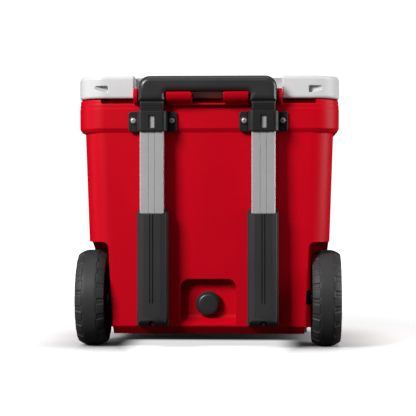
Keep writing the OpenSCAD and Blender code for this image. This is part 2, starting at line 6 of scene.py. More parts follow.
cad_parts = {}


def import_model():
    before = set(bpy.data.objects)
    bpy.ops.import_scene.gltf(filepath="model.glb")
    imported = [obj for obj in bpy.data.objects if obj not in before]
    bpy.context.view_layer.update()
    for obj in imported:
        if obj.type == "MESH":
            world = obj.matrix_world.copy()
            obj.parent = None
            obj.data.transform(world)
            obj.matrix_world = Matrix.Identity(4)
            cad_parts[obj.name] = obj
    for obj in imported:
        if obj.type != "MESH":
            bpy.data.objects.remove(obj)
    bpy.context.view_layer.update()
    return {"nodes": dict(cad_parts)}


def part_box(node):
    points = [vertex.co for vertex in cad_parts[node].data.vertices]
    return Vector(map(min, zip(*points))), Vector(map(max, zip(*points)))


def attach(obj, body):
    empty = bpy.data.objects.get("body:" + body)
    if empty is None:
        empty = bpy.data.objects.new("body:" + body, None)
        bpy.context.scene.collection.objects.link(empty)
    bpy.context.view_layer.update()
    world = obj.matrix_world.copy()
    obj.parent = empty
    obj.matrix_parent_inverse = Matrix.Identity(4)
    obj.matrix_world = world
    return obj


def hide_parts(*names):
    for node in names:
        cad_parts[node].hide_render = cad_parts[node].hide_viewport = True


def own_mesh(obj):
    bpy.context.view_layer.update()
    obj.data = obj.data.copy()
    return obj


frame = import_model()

MM = 0.001
WELD = 0.01 * MM
# Further out than the cooler reaches, for cutters that run out of it, in millimetres
FAR = 300


# ---- Sizes read from the frame, in millimetres ----

def box_mm(node):
    """The lowest and highest corner of a CAD node at rest, in millimetres."""
    low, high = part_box(node)
    return [c / MM for c in low], [c / MM for c in high]


_, body_high = box_mm("body_shell")
lid_low, lid_high = box_mm("lid_shell")
grip_low, grip_high = box_mm("handle_grip")
button_low, button_high = box_mm("release_button")
bracket_low, bracket_high = box_mm("handle_bracket_right")
sleeve_low, sleeve_high = box_mm("handle_sleeve_right")
tube_low, tube_high = box_mm("mid_tube_right")
inner_low, inner_high = box_mm("inner_tube_right")
collar_low, collar_high = box_mm("mid_collar_right")
tyre_low, tyre_high = box_mm("tyre_right")
hub_low, hub_high = box_mm("wheel_hub_right")
cap_low, cap_high = box_mm("hub_cap_right")
boss_low, boss_high = box_mm("axle_boss_right")
plug_low, plug_high = box_mm("drain_plug")
rod_low, rod_high = box_mm("hinge_rod")
latch_low, latch_high = box_mm("latch_right")
foot_low, foot_high = box_mm("front_foot_right")
gasket_low, gasket_high = box_mm("lid_gasket")

# The rim and the walls below it
RIM_X = body_high[0]
RIM_REAR = bracket_high[1]
RIM_FRONT = body_high[1]
RIM_BOTTOM = bracket_low[2]
RIM_TOP = 456.5
RIM_R = 52
LID_BOTTOM = RIM_TOP + 2
WALL_R = 45
SIDE_STEP = 10.8
END_STEP = 5
SIDE_DRAFT = 12
END_DRAFT = 8
BASE_Z = 25
BASE_BEVEL = 15

# The cavity
CAVITY_X = 186
CAVITY_LOW_X = 163.5
CAVITY_FLOOR = 62
CAVITY_WALL = 57
CAVITY_LEAN = 9
CAVITY_R = 40
CAVITY_EDGE = 16
PLUG_GAP = 4

# The hinge and the recess in the rim round it
HINGE_Y = (rod_low[1] + rod_high[1]) / 2
HINGE_Z = (rod_low[2] + rod_high[2]) / 2
KNUCKLE_R = 9.25
KNUCKLE_ROOM = 11.8
KNUCKLE_END = rod_high[0] + 1
LID_KNUCKLE_X = 27.6
SCOOP_X = KNUCKLE_END + 1.5
RECESS_X = 197
RECESS_Z = 449

# The handle
TUBE_X = (tube_low[0] + tube_high[0]) / 2
TUBE_Y = (tube_low[1] + tube_high[1]) / 2
TUBE_W, TUBE_D = tube_high[0] - tube_low[0], tube_high[1] - tube_low[1]
INNER_W, INNER_D = inner_high[0] - inner_low[0], inner_high[1] - inner_low[1]
GROOVE_X = 5.7
GRIP_BAR = 29
LEG_W = 49
YOKE_Z = button_low[2] - 4
PIN_Z = inner_low[2] + 9
LIFT = 300
SCREW_Z = RIM_BOTTOM + 20.5
SCREW_X = 35
SADDLE_X = 27.85

# The wheels and their wells
WHEEL_Y = (tyre_low[1] + tyre_high[1]) / 2
WHEEL_R = (tyre_high[2] - tyre_low[2]) / 2
WELL_R = WHEEL_R + 16
WELL_X = boss_low[0]
LUGS = 19
SPOKES = 6
BUSH_IN = tyre_low[0] + 1
BUSH_OUT = tyre_high[0] - 16

# The drain, the latches and the feet
DRAIN_Z = (plug_low[2] + plug_high[2]) / 2
DRAIN_TOP = 127.5
DRAIN_FLOOR = 42
DRAIN_X = 51
SEAT_Y = RIM_REAR + 33
LATCH_X = (latch_low[0] + latch_high[0]) / 2
KEEPER_Z = LID_BOTTOM - 24
FOOT_X = (foot_low[0] + foot_high[0]) / 2
FOOT_Y = (foot_low[1] + foot_high[1]) / 2


def wall_y(z):
    """Where the rear wall stands at a height, in millimetres."""
    return RIM_REAR + END_STEP + END_DRAFT * (RIM_BOTTOM - z) / (RIM_BOTTOM - BASE_Z - BASE_BEVEL)


# ---- Outlines ----

def round_rect(x0, x1, y0, y1, r, steps=10):
    """A rectangle with round corners, anticlockwise."""
    points = []
    corners = ((x1 - r, y1 - r, 0), (x0 + r, y1 - r, 90), (x0 + r, y0 + r, 180), (x1 - r, y0 + r, 270))
    for cx, cy, start in corners:
        for i in range(steps + 1):
            a = math.radians(start + 90 * i / steps)
            points.append((cx + r * math.cos(a), cy + r * math.sin(a)))
    return points


def arc(u, v, r, start, stop, step):
    """Points on a circle round (u, v), from one angle to another in whole degrees."""
    turns = [math.radians(a) for a in range(start, stop + 1, step)]
    return [(u + r * math.cos(a), v + r * math.sin(a)) for a in turns]


def span(side, a, b):
    """The low and the high end of a stretch from a to b, on the side of the origin that has this sign."""
    return sorted((side * a, side * b))


def soften(stops, steps=5, closed=False):
    """Rounds a path's corners. Each stop is (point, radius), and a point has any number of coordinates."""
    out = []
    count = len(stops)
    for i, (point, radius) in enumerate(stops):
        p = Vector(point)
        if radius <= 0 or (not closed and i in (0, count - 1)):
            out.append(tuple(p))
            continue
        before = Vector(stops[i - 1][0]) - p
        after = Vector(stops[(i + 1) % count][0]) - p
        turn = turn_between(before, after)
        reach = radius * math.tan(turn / 2)
        reach = min(reach, before.length * 0.49, after.length * 0.49)
        a = p + before.normalized() * reach
        b = p + after.normalized() * reach
        weight = math.cos(turn / 2)
        for k in range(steps + 1):
            t = k / steps
            w0, w1, w2 = (1 - t) ** 2, 2 * t * (1 - t) * weight, t ** 2
            out.append(tuple((a * w0 + p * w1 + b * w2) / (w0 + w1 + w2)))
    return out


def turn_between(before, after):
    """The turn of a path at a corner, from its two sides as vectors of any length."""
    cosine = before.dot(after) / (before.length * after.length)
    return math.pi - math.acos(max(-1, min(1, cosine)))


# ---- Meshes ----

def clean(mesh, weld=None):
    """Joins the points within a distance in metres, where one is given, and turns the faces outward."""
    made = bmesh.new()
    made.from_mesh(mesh)
    if weld:
        bmesh.ops.remove_doubles(made, verts=made.verts, dist=weld)
    bmesh.ops.recalc_face_normals(made, faces=made.faces)
    made.to_mesh(mesh)
    made.free()


def new_object(name, points, faces):
    """A mesh object from points in millimetres."""
    mesh = bpy.data.meshes.new(name)
    mesh.from_pydata([[c * MM for c in p] for p in points], [], faces)
    mesh.update()
    clean(mesh)
    obj = bpy.data.objects.new(name, mesh)
    bpy.context.scene.collection.objects.link(obj)
    return obj


def loft(name, rings, closed=False, capped=True):
    """A skin over rings of the same number of points. closed joins the last ring to the first."""
    n = len(rings[0])
    points = [p for r in rings for p in r]
    faces = []
    for k in range(len(rings) if closed else len(rings) - 1):
        a, b = k * n, (k + 1) % len(rings) * n
        faces += [(a + i, a + (i + 1) % n, b + (i + 1) % n, b + i) for i in range(n)]
    if capped and not closed:
        faces += [tuple(range(n))[::-1], tuple(range(len(points) - n, len(points)))]
    return new_object(name, points, faces)


def offset_outline(outline, distance):
    """The outline moved in by a distance along the mean of its two sides' normals."""
    n = len(outline)
    area = sum(outline[i - 1][0] * outline[i][1] - outline[i][0] * outline[i - 1][1] for i in range(n))
    side = 1 if area > 0 else -1
    moved = []
    for i in range(n):
        p, q, r = (Vector(outline[j % n]) for j in (i - 1, i, i + 1))
        a, b = (q - p), (r - q)
        normal_a = Vector((-a.y, a.x)).normalized() * side
        normal_b = Vector((-b.y, b.x)).normalized() * side
        mean = (normal_a + normal_b).normalized()
        moved.append(q + mean * distance / max(0.5, mean.dot(normal_a)))
    return moved


# A profile's points on its axis stand this far off it, and are then joined.
ALMOST_ZERO = 1e-4

# Where a flat point (u, v) goes at a height w along each axis
PLACE = {
    "x": lambda u, v, w: (w, u, v),
    "y": lambda u, v, w: (u, w, v),
    "z": lambda u, v, w: (u, v, w),
}


def slab(name, outline, axis, low, high, edge=(0, 0), steps=4):
    """An outline extruded along an axis, with its low and high edges rounded by the radii in edge."""
    rings = []
    place = PLACE[axis]
    for end, radius, inward in ((low, edge[0], 1), (high, edge[1], -1)):
        turns = range(steps + 1) if radius else (steps,)
        stage = []
        for k in turns:
            a = math.pi / 2 * k / steps
            ring = offset_outline(outline, radius * (1 - math.sin(a)))
            depth = end + inward * radius * (1 - math.cos(a))
            stage.append([place(p[0], p[1], depth) for p in ring])
        rings += stage if inward == 1 else stage[::-1]
    return loft(name, rings)


def lathe(name, profile, axis, centre, steps=96):
    """A profile of (radius, distance along the axis) turned round a line through centre."""
    rings = []
    for k in range(steps):
        a = 2 * math.pi * k / steps
        ring = []
        for r, d in profile:
            r = max(r, ALMOST_ZERO)
            turned = PLACE[axis](r * math.cos(a), r * math.sin(a), d)
            ring.append([at + by for at, by in zip(centre, turned)])
        rings.append(ring)
    obj = loft(name, rings, closed=True, capped=False)
    clean(obj.data, WELD)
    return obj


def drill(axis, centre, r, low, high, steps=32):
    """A round cutter that runs from low to high along an axis, counted from centre."""
    return lathe("drill", [(0, low), (r, low), (r, high), (0, high)], axis, centre, steps)


def apply_modifiers(obj):
    """Bakes an object's modifiers into its mesh."""
    graph = bpy.context.evaluated_depsgraph_get()
    mesh = bpy.data.meshes.new_from_object(obj.evaluated_get(graph))
    obj.modifiers.clear()
    old, obj.data = obj.data, mesh
    bpy.data.meshes.remove(old)
    mesh.name = obj.name


def combine(obj, tools, how="DIFFERENCE"):
    """Cuts each tool from obj, or joins it on, and deletes the tool."""
    for tool in tools:
        m = obj.modifiers.new("combine", "BOOLEAN")
        m.operation = how
        m.solver = "EXACT"
        m.object = tool
        apply_modifiers(obj)
        bpy.data.objects.remove(tool)
    return obj


def add_bevel(obj, width, angle, segments):
    """A modifier that rounds the edges sharper than an angle, by a width in millimetres."""
    m = obj.modifiers.new("edges", "BEVEL")
    m.width = width * MM
    m.segments = segments
    m.limit_method = "ANGLE"
    m.angle_limit = math.radians(angle)
    return m


def bevel(obj, width, angle=30, segments=3):
    """Rounds the sharp edges of obj."""
    add_bevel(obj, width, angle, segments).miter_outer = "MITER_ARC"
    apply_modifiers(obj)


def smooth(obj, angle=35):
    """Smooth shading that keeps edges sharper than an angle."""
    obj.data.polygons.foreach_set("use_smooth", [True] * len(obj.data.polygons))
    obj.data.set_sharp_from_angle(angle=math.radians(angle))
    m = obj.modifiers.new("normals", "WEIGHTED_NORMAL")
    m.keep_sharp = True
    m.weight = 60


def joined(name, parts):
    """One object from several, with no boolean."""
    made = bmesh.new()
    for part in parts:
        made.from_mesh(part.data)
        bpy.data.objects.remove(part)
    mesh = bpy.data.meshes.new(name)
    made.to_mesh(mesh)
    made.free()
    obj = bpy.data.objects.new(name, mesh)
    bpy.context.scene.collection.objects.link(obj)
    return obj


def finish_piece(obj, body, material, slot, *nodes, angle=35):
    """Shades a piece, gives it its material, ties it to its body and hides the nodes it stands for."""
    obj.data.materials.clear()
    obj.data.materials.append(material)
    smooth(obj, angle)
    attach(obj, body)
    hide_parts(*nodes)


def finish_pair(obj, node, body, material, slot, angle=35):
    """Finishes the right-hand piece and its mirror image. {} in node and body stands for the side."""
    other = obj.copy()
    other.data = obj.data.copy()
    other.data.transform(Matrix.Scale(-1, 4, (1, 0, 0)))
    other.data.flip_normals()
    bpy.context.scene.collection.objects.link(other)
    for side, piece in (("left", other), ("right", obj)):
        piece.name = node.format(side) + "_skin"
        finish_piece(piece, body.format(side), material, slot, node.format(side), angle=angle)


def dress_node(node, material):
    """Keeps a CAD node's own mesh, rounds its edges and gives it a material."""
    obj = frame["nodes"][node]
    obj.modifiers.new("weld", "WELD").merge_threshold = WELD
    add_bevel(obj, 0.4, 35, 2)
    obj.modifiers.new("normals", "WEIGHTED_NORMAL").keep_sharp = True
    obj.data.materials.clear()
    obj.data.materials.append(material)


# ---- Materials ----

def new_node(tree, kind, **values):
    """A shader node, with its sockets and settings set by name."""
    n = tree.nodes.new(kind)
    for key, value in values.items():
        if key in n.inputs:
            n.inputs[key].default_value = value
        else:
            setattr(n, key, value)
    return n


def maths(tree, operation, *values):
    """A maths node's result. A value is a number or another node's output."""
    n = new_node(tree, "ShaderNodeMath", operation=operation)
    for i, value in enumerate(values):
        if isinstance(value, (int, float)):
            n.inputs[i].default_value = value
        else:
            tree.links.new(value, n.inputs[i])
    return n.outputs["Value"]


def map_range(tree, value, given, wanted=(0, 1), how="LINEAR"):
    """Takes a value from the range given to the range wanted."""
    n = new_node(tree, "ShaderNodeMapRange", interpolation_type=how)
    n.inputs["From Min"].default_value, n.inputs["From Max"].default_value = given
    n.inputs["To Min"].default_value, n.inputs["To Max"].default_value = wanted
    tree.links.new(value, n.inputs["Value"])
    return n.outputs["Result"]


def new_material(name):
    """A material with its node tree and its shader."""
    material = bpy.data.materials.new(name)
    material.use_nodes = True
    return material, material.node_tree, material.node_tree.nodes["Principled BSDF"]


def plastic(name, colour, rough, grain=1.0, grain_size=1.1, mottle=0.05, specular=0.5,
            streak=(1, 1, 1), metallic=0.0):
    """A moulded plastic or rubber: fine grain in the relief, slow drift in colour and roughness.

    grain_size is the grain's size in millimetres. streak stretches the grain along an axis."""
    material, tree, shader = new_material(name)
    link = tree.links.new
    shader.inputs["Metallic"].default_value = metallic
    shader.inputs["Specular IOR Level"].default_value = specular
    place = new_node(tree, "ShaderNodeTexCoord")
    mapping = new_node(tree, "ShaderNodeMapping", Scale=streak)
    link(place.outputs["Object"], mapping.inputs["Vector"])

    drift = new_node(tree, "ShaderNodeTexNoise", Scale=9.0, Detail=4.0, Roughness=0.6)
    link(place.outputs["Object"], drift.inputs["Vector"])
    fine = new_node(tree, "ShaderNodeTexNoise", Scale=1 / (grain_size * MM), Detail=2.0, Roughness=0.5)
    link(mapping.outputs["Vector"], fine.inputs["Vector"])

    tint = new_node(tree, "ShaderNodeValToRGB")
    for stop, place_on_ramp, change in zip(tint.color_ramp.elements, (0.3, 0.7), (-mottle, mottle)):
        stop.position = place_on_ramp
        stop.color = [min(1, c * (1 + change)) for c in colour] + [1]
    link(drift.outputs["Fac"], tint.inputs["Fac"])
    link(tint.outputs["Color"], shader.inputs["Base Color"])

    both = maths(tree, "ADD", drift.outputs["Fac"], fine.outputs["Fac"])
    link(map_range(tree, both, (0.6, 1.4), (rough - 0.05, rough + 0.06)), shader.inputs["Roughness"])

    bump = new_node(tree, "ShaderNodeBump", Strength=0.35 * grain, Distance=0.00012)
    link(fine.outputs["Fac"], bump.inputs["Height"])
    link(bump.outputs["Normal"], shader.inputs["Normal"])
    return material


RED = plastic("red_moulded", (0.43, 0.0003, 0.0075), 0.4, grain=0.25, grain_size=1.3, mottle=0.02,
              specular=0.08)
WHITE = plastic("white_moulded", (0.485, 0.485, 0.49), 0.34, grain=0.3, grain_size=1.3, mottle=0.012,
                specular=0.2)
BLACK = plastic("black_moulded", (0.0125, 0.0127, 0.013), 0.38, grain=1.1, grain_size=0.7, mottle=0.1,
                specular=0.2)
SOFT_BLACK = plastic("black_soft", (0.018, 0.018, 0.019), 0.45, grain=1.0, grain_size=0.9, mottle=0.1,
                     specular=0.3)
TYRE = plastic("tyre_rubber", (0.027, 0.027, 0.0275), 0.5, grain=1.2, grain_size=1.0, mottle=0.14,
               specular=0.2)
GRIP = plastic("black_satin", (0.0205, 0.0207, 0.021), 0.3, grain=0.5, grain_size=0.7, mottle=0.06,
               specular=0.35)
SLEEVE = plastic("black_sleeve", (0.024, 0.0242, 0.0245), 0.4, grain=0.8, grain_size=0.8, mottle=0.06,
                 specular=0.18)
HUB = plastic("wheel_plastic", (0.014, 0.014, 0.015), 0.4, grain=0.8, grain_size=0.8, mottle=0.08,
              specular=0.3)
SEAL = plastic("seal_rubber", (0.045, 0.045, 0.047), 0.6, grain=0.8, grain_size=0.8, mottle=0.08)
NYLON = plastic("bush_nylon", (0.62, 0.61, 0.56), 0.38, grain=0.6, grain_size=1.0, mottle=0.03)
FOAM = plastic("foam", (0.60, 0.52, 0.30), 0.8, grain=2.5, grain_size=2.2, mottle=0.12)
TUBE = plastic("tube_satin", (0.36, 0.36, 0.365), 0.3, grain=0.5, grain_size=0.8, mottle=0.03,
               streak=(1, 1, 0.02), metallic=0.25)
STEEL = plastic("steel_brushed", (0.36, 0.36, 0.365), 0.48, grain=0.6, grain_size=0.5, mottle=0.06,
                metallic=0.5)


# ---- Body ----

def stacked_skin(name, stops, steps=5):
    """A skin through level round-cornered sections, from the centre of its foot to the centre of its top.

    Each stop is ((half width, rear, front, corner radius, height), edge radius)."""
    rings = []
    for half_x, rear, front, r, z in soften(stops, steps):
        rings.append([(x, y, z) for x, y in round_rect(-half_x, half_x, rear, front, max(r, 4))])
    return loft(name, rings)


def rim(by, z, edge):
    """A stop on the outline that the rim and the lid share, moved in by a distance."""
    return (RIM_X - by, RIM_REAR + by, RIM_FRONT - by, RIM_R - by, z), edge


def body_stops():
    """The body's sections from its underside, up the walls, over the rim and down to the cavity floor."""
    wall_x = RIM_X - SIDE_STEP
    rear, front = RIM_REAR + END_STEP, RIM_FRONT - END_STEP

    def wall(drop, by, z, r, edge):
        x, y = SIDE_DRAFT * drop + by, END_DRAFT * drop + by
        return (wall_x - x, rear + y, front - y, r, z), edge

    def cavity(share, z, edge):
        lean = CAVITY_LEAN * share
        half = CAVITY_X - (CAVITY_X - CAVITY_LOW_X) * share
        rear, front = RIM_REAR + CAVITY_WALL + lean, RIM_FRONT - CAVITY_WALL - lean
        return (half, rear, front, CAVITY_R, z), edge

    floor = cavity(1, CAVITY_FLOOR, CAVITY_EDGE)
    x, rear_y, front_y, _, _ = floor[0]
    return [
        wall(1, BASE_BEVEL + 20, BASE_Z, 12, 0),
        wall(1, BASE_BEVEL, BASE_Z, 30, 6),
        wall(1, 0, BASE_Z + BASE_BEVEL, WALL_R, 4),
        wall(0, 0, RIM_BOTTOM, WALL_R, 2.5),
        rim(4.4, RIM_BOTTOM, 1),
        rim(0.3, RIM_BOTTOM + 6.8, 3),
        rim(0, 439.4, 0.5),
        rim(0.6, 440.6, 0.5),
        rim(0.6, 447.4, 0.6),
        rim(1.3, 449.2, 0.6),
        rim(1.3, RIM_TOP, 3.2),
        cavity(0, RIM_TOP, 5),
        floor,
        ((x - 60, rear_y + 60, front_y - 60, 10, CAVITY_FLOOR), 0),
    ]


def well_cutter(side):
    """The space that one wheel turns in, open to the rear, the outside and the floor."""
    outline = arc(WHEEL_Y, WHEEL_R, WELL_R, 0, 90, 5)
    outline += [(-FAR, WHEEL_R + WELL_R), (-FAR, -60), (WHEEL_Y + WELL_R, -60)]
    inner = (0, 10) if side < 0 else (10, 0)
    well = slab("well", outline, "x", *span(side, WELL_X, FAR), edge=inner)
    # The inner face leans in towards the floor, and most in the last stretch above the wall's foot.
    steep_top, steep_end = 65, BASE_Z + BASE_BEVEL
    for v in well.data.vertices:
        z = v.co.z / MM
        steep = steep_top - min(steep_top, max(steep_end, z))
        v.co.x += side * (0.045 * (z - WHEEL_R) - 0.09 * steep) * MM
    return well


def box_tool(x0, x1, y0, y1, z0, z1, r=0, axis="y", edge=(0, 0)):
    """A cutting block, with round corners seen along an axis."""
    spans = {
        "x": ((y0, y1, z0, z1), x0, x1),
        "y": ((x0, x1, z0, z1), y0, y1),
        "z": ((x0, x1, y0, y1), z0, z1),
    }
    rect, low, high = spans[axis]
    outline = round_rect(*rect, r, 6) if r else [(rect[1], rect[3]), (rect[0], rect[3]),
                                                 (rect[0], rect[2]), (rect[1], rect[2])]
    return slab("tool", outline, axis, low, high, edge=edge)


def drain_cutter():
    """The scoop over the drain: flat at the back and running out to the wall below."""
    outside, top = RIM_REAR - 40, DRAIN_TOP + 0.5
    side_view = soften([((outside, DRAIN_TOP), 0), ((SEAT_Y, DRAIN_TOP), 4), ((SEAT_Y, 56), 12),
                        ((wall_y(DRAIN_FLOOR), DRAIN_FLOOR), 0), ((outside, DRAIN_FLOOR), 0)])
    rear_view = soften([((DRAIN_X, -20), 0), ((DRAIN_X, top), 17), ((-DRAIN_X, top), 17),
                        ((-DRAIN_X, -20), 0)], closed=True)
    return combine(slab("scoop", side_view, "x", -80, 80),
                   [slab("scoop_rear", rear_view, "y", RIM_REAR - 60, 0)], "INTERSECT")


def hinge_outline():
    """One of the body's hinge knuckles from the side."""
    top = arc(HINGE_Y, HINGE_Z, KNUCKLE_R, 0, 180, 12)
    return top + [(HINGE_Y - KNUCKLE_R, RECESS_Z - 3), (HINGE_Y + KNUCKLE_R, RECESS_Z - 6)]


def grip_rests():
    """The rounded rests that stand out of the rim between the grip's legs, and the fins outside them."""
    r, front = 19, grip_low[1] + 3
    end = grip_high[0] - LEG_W - 2
    back, root = front + r, RIM_REAR + 6
    rest = [(root, RECESS_Z + r), (front + 1.2, RECESS_Z + r), (front + 0.2, RECESS_Z + r - 1)]
    rest += arc(back, RECESS_Z + r, r, 188, 270, 8)
    rest += [(back, RECESS_Z - 3), (root, RECESS_Z - 3)]
    fin_front = front + 8
    fin = soften([((y, RECESS_Z + up), edge) for y, up, edge in
                  ((root, -3, 0), (fin_front + 7, 0, 4), (fin_front + 0.5, 10, 6), (fin_front + 1, 22, 4),
                   (fin_front + 7, 26, 4), (root, 26, 0))])
    parts = [box_tool(-end, end, back, root, RECESS_Z - 3, RECESS_Z, 0, "x")]
    for side in (-1, 1):
        parts.append(slab("rest", rest, "x", *span(side, LID_KNUCKLE_X + 1.2, end), edge=(1.8, 1.8)))
        parts.append(slab("fin", fin, "x", *span(side, grip_high[0] + 1.5, KNUCKLE_END), edge=(1.8, 1.8)))
    return parts


def build_body():
    """The red body: walls, rim and cavity, wheel wells, drain scoop, hinge recess and side grips."""
    body = stacked_skin("body_shell_skin", body_stops())
    # Inside, the cavity steps in over each wheel well.
    steps = [box_tool(*span(side, 142, 205), -165, WHEEL_Y + WELL_R + 24, CAVITY_FLOOR - 8,
                      WHEEL_R + WELL_R + 24, 10, "x", (8, 0) if side > 0 else (0, 8)) for side in (-1, 1)]
    combine(body, steps, "UNION")
    cutters = [well_cutter(-1), well_cutter(1), drain_cutter()]
    cutters.append(box_tool(-RECESS_X, RECESS_X, RIM_REAR - 30, HINGE_Y + KNUCKLE_ROOM, RECESS_Z, 470, 3))
    # A finger hold under the rim on each side.
    for side in (-1, 1):
        cutters.append(box_tool(*span(side, 208, 260), -50, 74, RIM_BOTTOM - 34, RIM_BOTTOM, 12, "x"))
    cutters.append(drill("y", (0, SEAT_Y + 20, DRAIN_Z), 13, -60, 60, 64))
    combine(body, cutters)
    bevel(body, 2.4)
    added = grip_rests()
    for side in (-1, 1):
        added.append(slab("knuckle", hinge_outline(), "x", *span(side, LID_KNUCKLE_X + 1.2, KNUCKLE_END),
                          edge=(1.6, 1.6)))
    added += [lathe("foot_boss", [(0, 0), (25.5, 0), (27, 1.5), (27, 30), (0, 30)], "z",
                    (side * FOOT_X, FOOT_Y, foot_high[2]), 64) for side in (-1, 1)]
    combine(body, added, "UNION")
    finish_piece(body, "cooler_body", RED, "red_plastic", "body_shell", angle=32)


# ---- Lid ----

def lid_stops():
    """The lid's sections, from the underside of its plug to the middle of its top."""
    low, high = lid_low[2], lid_high[2]

    def plug(by, z, radius):
        x, y = CAVITY_X - PLUG_GAP - by, CAVITY_WALL + PLUG_GAP + by
        return (x, RIM_REAR + y, RIM_FRONT - y, CAVITY_R - PLUG_GAP, z), radius

    return [
        plug(60, low, 0),
        plug(0, low, 6),
        plug(0, LID_BOTTOM, 2),
        rim(0, LID_BOTTOM, 5),
        rim(0, high, 8),
        ((120, RIM_REAR + 110, RIM_FRONT - 110, 10, high), 0),
    ]


def build_lid():
    """The white lid, with a scoop round the grip, latch slots, a pocket at each end and its knuckle."""
    lid = stacked_skin("lid_shell_skin", lid_stops(), 7)
    outline = [(HINGE_Y, HINGE_Z)] + arc(HINGE_Y, HINGE_Z, 50, 12, 168, 6) + [(HINGE_Y - 60, HINGE_Z)]
    scoop = slab("scoop", outline, "x", -SCOOP_X, SCOOP_X)
    under, over = LID_BOTTOM - 8.5, lid_high[2] + 20
    cutters = [scoop, box_tool(-SCOOP_X, SCOOP_X, -FAR, HINGE_Y + 3, under, over)]
    pocket_x, tip_x = 184, 222
    for side in (-1, 1):
        cutters.append(box_tool(*span(side, LID_KNUCKLE_X, SCOOP_X), -FAR, HINGE_Y + KNUCKLE_ROOM,
                                under, HINGE_Z + KNUCKLE_ROOM))
        cutters.append(box_tool(side * LATCH_X - 23.6, side * LATCH_X + 23.6, RIM_FRONT - 11.5, FAR,
                                under, LID_BOTTOM + 29, 4))
        corners = ((pocket_x, 32.5, 3), (pocket_x, 18.5, 3), (tip_x - 3, 19.5, 1.5), (tip_x, 21.5, 1))
        outline = soften([((side * x, lid_high[2] - drop), r) for x, drop, r in corners], closed=True)
        pocket = slab("pocket", outline, "y", RIM_REAR - 20, RIM_REAR + 8)
        # The pocket's floor runs out to nothing at its pointed end.
        for v in pocket.data.vertices:
            if v.co.y > RIM_REAR * MM:
                share = (tip_x - abs(v.co.x) / MM) / (tip_x - pocket_x)
                v.co.y = (RIM_REAR + 0.8 + 9.5 * share) * MM
        cutters.append(pocket)
    combine(lid, cutters)
    bevel(lid, 1.6)
    outline = arc(HINGE_Y, HINGE_Z, KNUCKLE_R, 0, 270, 12)
    outline += [(HINGE_Y, HINGE_Z - KNUCKLE_R), (HINGE_Y + 14, HINGE_Z - KNUCKLE_R), (HINGE_Y + 14, HINGE_Z)]
    knuckle = slab("knuckle", outline, "x", -LID_KNUCKLE_X, LID_KNUCKLE_X, edge=(1.2, 1.2))
    combine(lid, [knuckle], "UNION")
    finish_piece(lid, "lid", WHITE, "white_plastic", "lid_shell", angle=32)


# ---- Handle ----

def tube_plan(width, depth, r, grooved=False):
    """A tube's plan outline, with two fine grooves down its outer face if it is grooved."""
    x0, x1 = TUBE_X - width / 2, TUBE_X + width / 2
    y0, y1 = TUBE_Y - depth / 2, TUBE_Y + depth / 2
    if not grooved:
        return round_rect(x0, x1, y0, y1, r, 6)
    stops = [((x1, y1), r), ((x0, y1), r), ((x0, y0), r)]
    for x in (TUBE_X - GROOVE_X, TUBE_X + GROOVE_X):
        stops += [((x + u, y0 + v), 0.2) for u, v in ((-0.75, 0), (-0.3, 0.9), (0.3, 0.9), (0.75, 0))]
    stops.append(((x1, y0), r))
    return soften(stops, closed=True)


def hollow_tube(name, plan, bore, low, high, edge=0.4):
    """A tube along Z from its outer and inner plan outlines."""
    tube = slab(name, plan, "z", low, high, edge=(edge, edge), steps=2)
    return combine(tube, [slab("bore", bore, "z", low - 5, high + 5)])


def build_tubes():
    """The two sliding tubes of each leg, and the banded collar at the top of the outer one."""
    mid = hollow_tube("mid_tube_skin", tube_plan(TUBE_W, TUBE_D, 2.8, True),
                      tube_plan(INNER_W + 0.6, INNER_D + 0.6, 2), tube_low[2], tube_high[2])
    combine(mid, [drill("x", (TUBE_X, TUBE_Y, z), 3.8, 0, 30) for z in (PIN_Z, PIN_Z + LIFT)])
    finish_pair(mid, "mid_tube_{}", "outer_stage", TUBE, "tube_aluminium")

    inner = hollow_tube("inner_tube_skin", tube_plan(INNER_W, INNER_D, 2.2, True),
                        tube_plan(INNER_W - 3.6, INNER_D - 3.6, 1), inner_low[2], inner_high[2])
    combine(inner, [drill("x", (TUBE_X, TUBE_Y, PIN_Z), 3.6, 0, 30)])
    finish_pair(inner, "inner_tube_{}", "inner_stage", TUBE, "tube_aluminium")

    # The collar is a stack of fine bands.
    rings, bands = [], 4
    width, depth, height = (b - a for a, b in zip(collar_low, collar_high))
    low, high, pitch = collar_low[2], collar_high[2], height / bands
    for k in range(bands):
        z = low + k * pitch
        for inset, rise in ((0.8, 0.05), (0, 0.7), (0, pitch - 0.7), (0.8, pitch - 0.05)):
            plan = tube_plan(width - 2 * inset, depth - 2 * inset, 4 - inset)
            rings.append([(x, y, z + rise) for x, y in plan])
    rings[0] = [(x, y, low) for x, y, _ in rings[0]]
    rings[-1] = [(x, y, high) for x, y, _ in rings[-1]]
    collar = loft("mid_collar_skin", rings)
    combine(collar, [slab("bore", tube_plan(INNER_W + 0.5, INNER_D + 0.5, 2), "z", low - 5, high + 5)])
    finish_pair(collar, "mid_collar_{}", "outer_stage", BLACK, "black_plastic")


